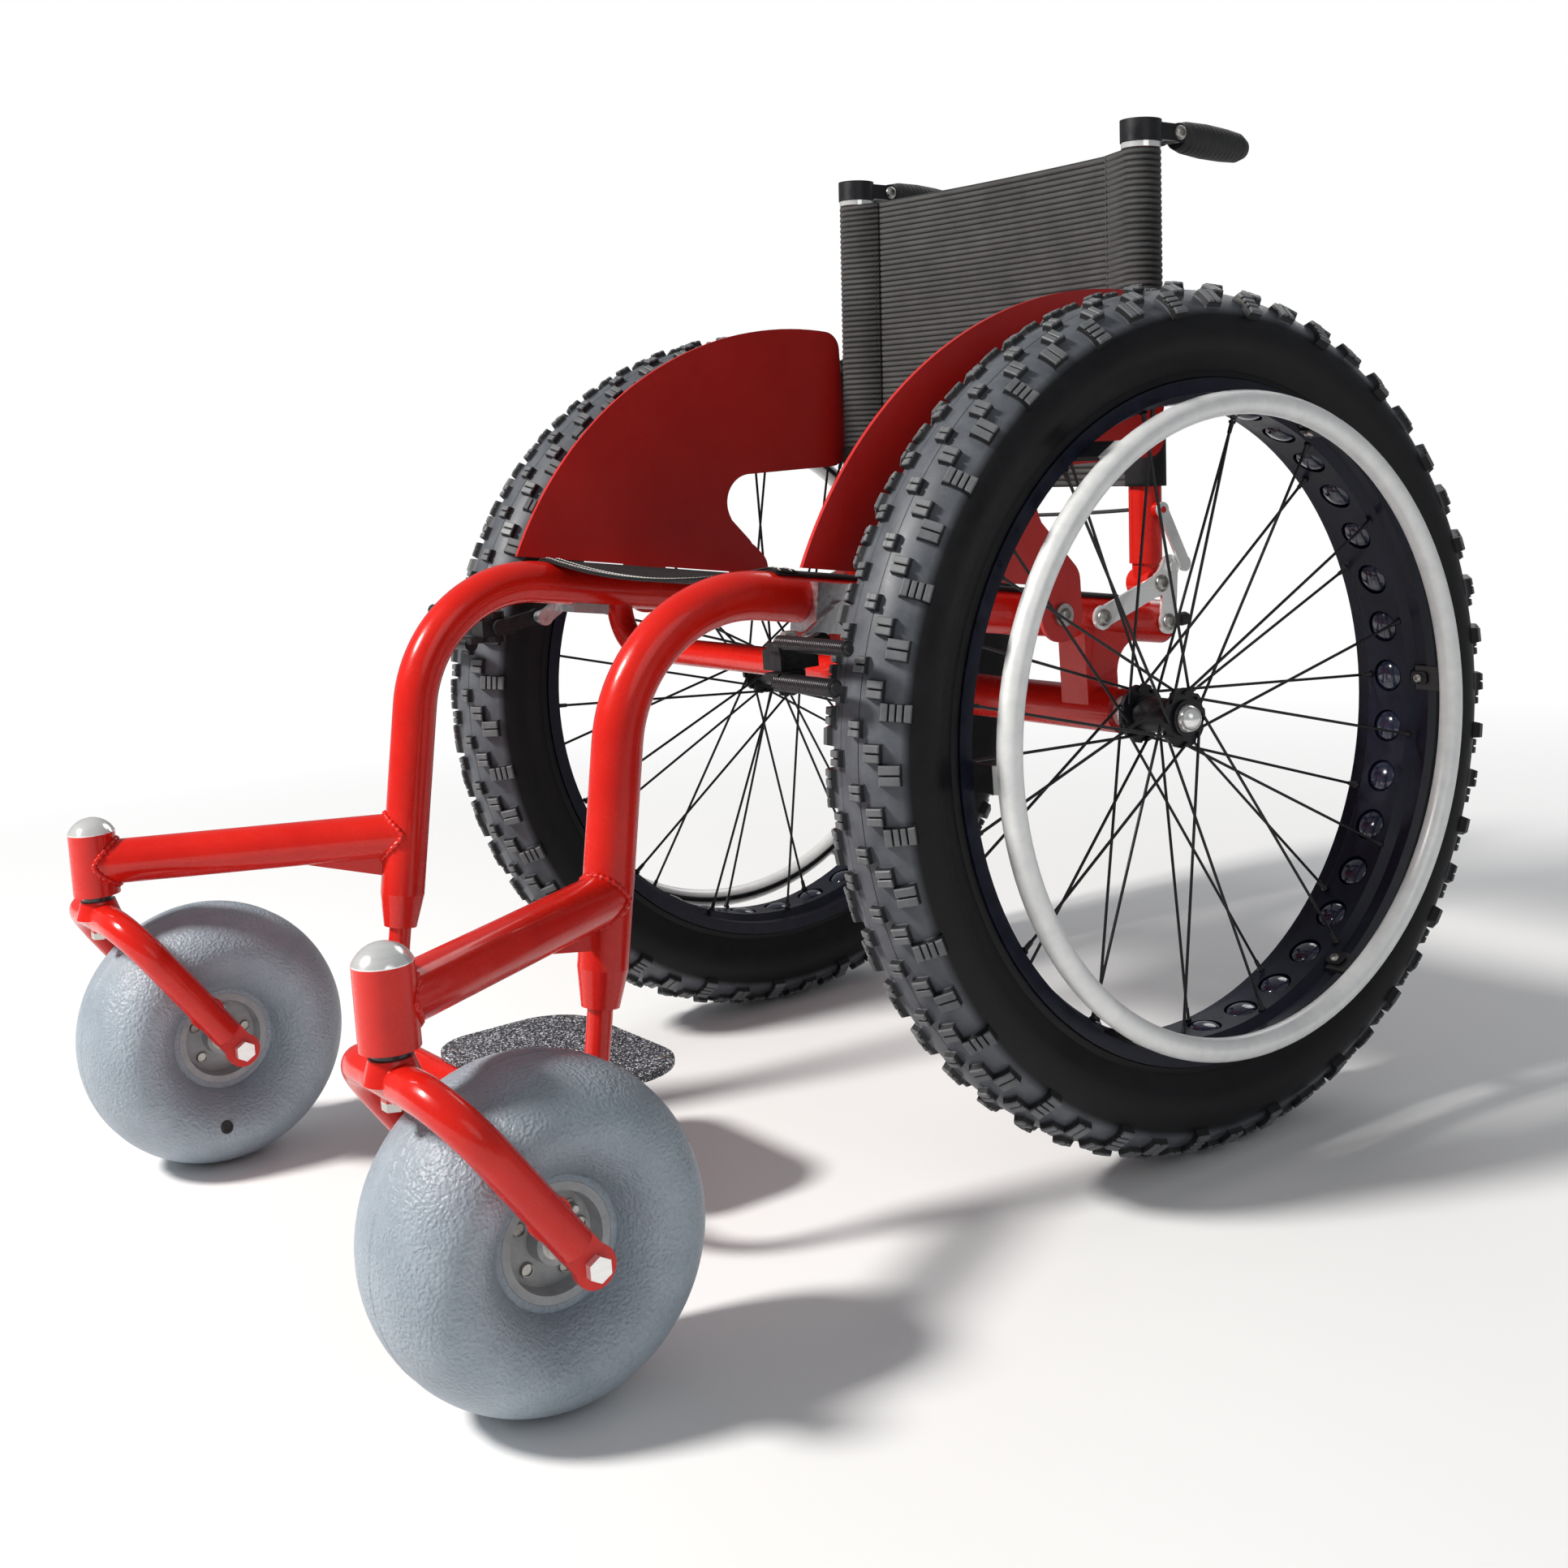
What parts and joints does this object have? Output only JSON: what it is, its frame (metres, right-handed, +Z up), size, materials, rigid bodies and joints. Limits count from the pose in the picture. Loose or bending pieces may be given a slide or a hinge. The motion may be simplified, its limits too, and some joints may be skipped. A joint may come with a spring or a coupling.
{
  "type": "all terrain wheelchair",
  "caption": "Rigid off-road wheelchair with fat knobbly wheels, balloon swivel casters, side guards, sling seat, fold-down back and footrest.",
  "frame": {"origin": "middle of the chair's footprint on the floor", "axes": "+Z up, the front faces -Y, the user's left is +X"},
  "size_m": [0.823, 1.1448, 0.8984],
  "materials": {
    "red_paint": "glossy red powder coat",
    "black_alloy": "satin black anodised",
    "bright_alloy": "polished aluminium",
    "steel": "bright zinc steel",
    "tyre_rubber": "matt knobbly rubber",
    "caster_rubber": "satin grey balloon rubber",
    "grip_rubber": "matt black rubber",
    "cloth": "black nylon upholstery",
    "grit": "black grit surface"
  },
  "bodies": {
    "frame": {"side_frame_left": "red_paint", "side_frame_right": "red_paint", "caster_arm_left": "red_paint", "caster_arm_right": "red_paint", "axle_bracket_left": "red_paint", "axle_bracket_right": "red_paint", "side_guard_left": "red_paint", "side_guard_right": "red_paint", "hinge_plate_left": "bright_alloy", "hinge_plate_right": "bright_alloy", "barrel_caps": "bright_alloy", "swivel_bearings": "steel", "axle_tube": "red_paint", "seat_cross_tube": "red_paint", "seat_sling": "cloth", "guard_bolts": "steel", "brake_clamps": "bright_alloy", "wheel_axles": "bright_alloy"},
    "backrest": {"back_post_left": "red_paint", "back_post_right": "red_paint", "back_sling": "cloth", "post_rings": "bright_alloy", "handle_clamps": "black_alloy", "release_cord": "cloth"},
    "footrest": {"footrest_frame": "red_paint", "footplate": "grit", "footplate_screws": "steel"},
    "wheel_left": {"tyre_left": "tyre_rubber", "rim_left": "black_alloy", "spokes_left": "black_alloy", "hub_left": "black_alloy", "hub_bearings_left": "steel", "handrim_left": "bright_alloy"},
    "caster_left": {"fork_left": "red_paint", "caster_axle_left": "steel"},
    "caster_wheel_left": {"caster_tyre_left": "caster_rubber", "caster_hub_left": "bright_alloy", "caster_bearings_left": "steel"},
    "latch_left": {"latch_left": "black_alloy"},
    "push_handle_left": {"push_handle_left": "grip_rubber"},
    "brake_lever_left": {"brake_lever_left": "black_alloy"},
    "brake_shoe_left": {"brake_shoe_left": "bright_alloy"},
    "wheel_right": {"tyre_right": "tyre_rubber", "rim_right": "black_alloy", "spokes_right": "black_alloy", "hub_right": "black_alloy", "hub_bearings_right": "steel", "handrim_right": "bright_alloy"},
    "caster_right": {"fork_right": "red_paint", "caster_axle_right": "steel"},
    "caster_wheel_right": {"caster_tyre_right": "caster_rubber", "caster_hub_right": "bright_alloy", "caster_bearings_right": "steel"},
    "latch_right": {"latch_right": "black_alloy"},
    "push_handle_right": {"push_handle_right": "grip_rubber"},
    "brake_lever_right": {"brake_lever_right": "black_alloy"},
    "brake_shoe_right": {"brake_shoe_right": "bright_alloy"}
  },
  "joints": [
    {"name": "back_fold", "type": "hinge", "parent": "frame", "child": "backrest", "pos_m": [0, 0.27175, 0.478], "axis": [1, 0, 0], "range_deg": [0, 78]},
    {"name": "footrest_slide", "type": "slide", "parent": "frame", "child": "footrest", "axis": [0, -0.165, -0.9863], "range_m": [-0.05, 0.04]},
    {"name": "wheel_left_spin", "type": "hinge", "parent": "frame", "child": "wheel_left", "pos_m": [0.3215, 0.20075, 0.372], "axis": [1, 0, 0], "continuous": true},
    {"name": "caster_left_swivel", "type": "hinge", "parent": "frame", "child": "caster_left", "pos_m": [0.316, -0.54325, 0.29], "axis": [0, 0, 1], "continuous": true},
    {"name": "caster_left_spin", "type": "hinge", "parent": "caster_left", "child": "caster_wheel_left", "pos_m": [0.316, -0.45275, 0.12], "axis": [1, 0, 0], "continuous": true},
    {"name": "latch_left_release", "type": "hinge", "parent": "backrest", "child": "latch_left", "pos_m": [0.2333, 0.27596, 0.54487], "axis": [1, 0, 0], "range_deg": [0, 30]},
    {"name": "push_handle_left_fold", "type": "hinge", "parent": "backrest", "child": "push_handle_left", "pos_m": [0.212, 0.33342, 0.88493], "axis": [1, 0, 0], "range_deg": [-80, 0]},
    {"name": "brake_lever_left_swing", "type": "hinge", "parent": "frame", "child": "brake_lever_left", "pos_m": [0.25, -0.15925, 0.457], "axis": [0, 0, 1], "range_deg": [-70, 0]},
    {"name": "brake_shoe_left_swing", "type": "hinge", "parent": "frame", "child": "brake_shoe_left", "pos_m": [0.25, -0.15925, 0.479], "axis": [0, 0, 1], "range_deg": [0, 6]},
    {"name": "wheel_right_spin", "type": "hinge", "parent": "frame", "child": "wheel_right", "pos_m": [-0.3215, 0.20075, 0.372], "axis": [1, 0, 0], "continuous": true},
    {"name": "caster_right_swivel", "type": "hinge", "parent": "frame", "child": "caster_right", "pos_m": [-0.316, -0.54325, 0.29], "axis": [0, 0, 1], "continuous": true},
    {"name": "caster_right_spin", "type": "hinge", "parent": "caster_right", "child": "caster_wheel_right", "pos_m": [-0.316, -0.45275, 0.12], "axis": [1, 0, 0], "continuous": true},
    {"name": "latch_right_release", "type": "hinge", "parent": "backrest", "child": "latch_right", "pos_m": [-0.2333, 0.27596, 0.54487], "axis": [1, 0, 0], "range_deg": [0, 30]},
    {"name": "push_handle_right_fold", "type": "hinge", "parent": "backrest", "child": "push_handle_right", "pos_m": [-0.212, 0.33342, 0.88493], "axis": [1, 0, 0], "range_deg": [-80, 0]},
    {"name": "brake_lever_right_swing", "type": "hinge", "parent": "frame", "child": "brake_lever_right", "pos_m": [-0.25, -0.15925, 0.457], "axis": [0, 0, -1], "range_deg": [-70, 0]},
    {"name": "brake_shoe_right_swing", "type": "hinge", "parent": "frame", "child": "brake_shoe_right", "pos_m": [-0.25, -0.15925, 0.479], "axis": [0, 0, -1], "range_deg": [0, 6]}
  ],
  "couplings": [
    {"joint": "latch_right_release", "follows": "latch_left_release", "ratio": 1},
    {"joint": "brake_shoe_left_swing", "follows": "brake_lever_left_swing", "ratio": -0.08},
    {"joint": "brake_shoe_right_swing", "follows": "brake_lever_right_swing", "ratio": -0.08}
  ]
}
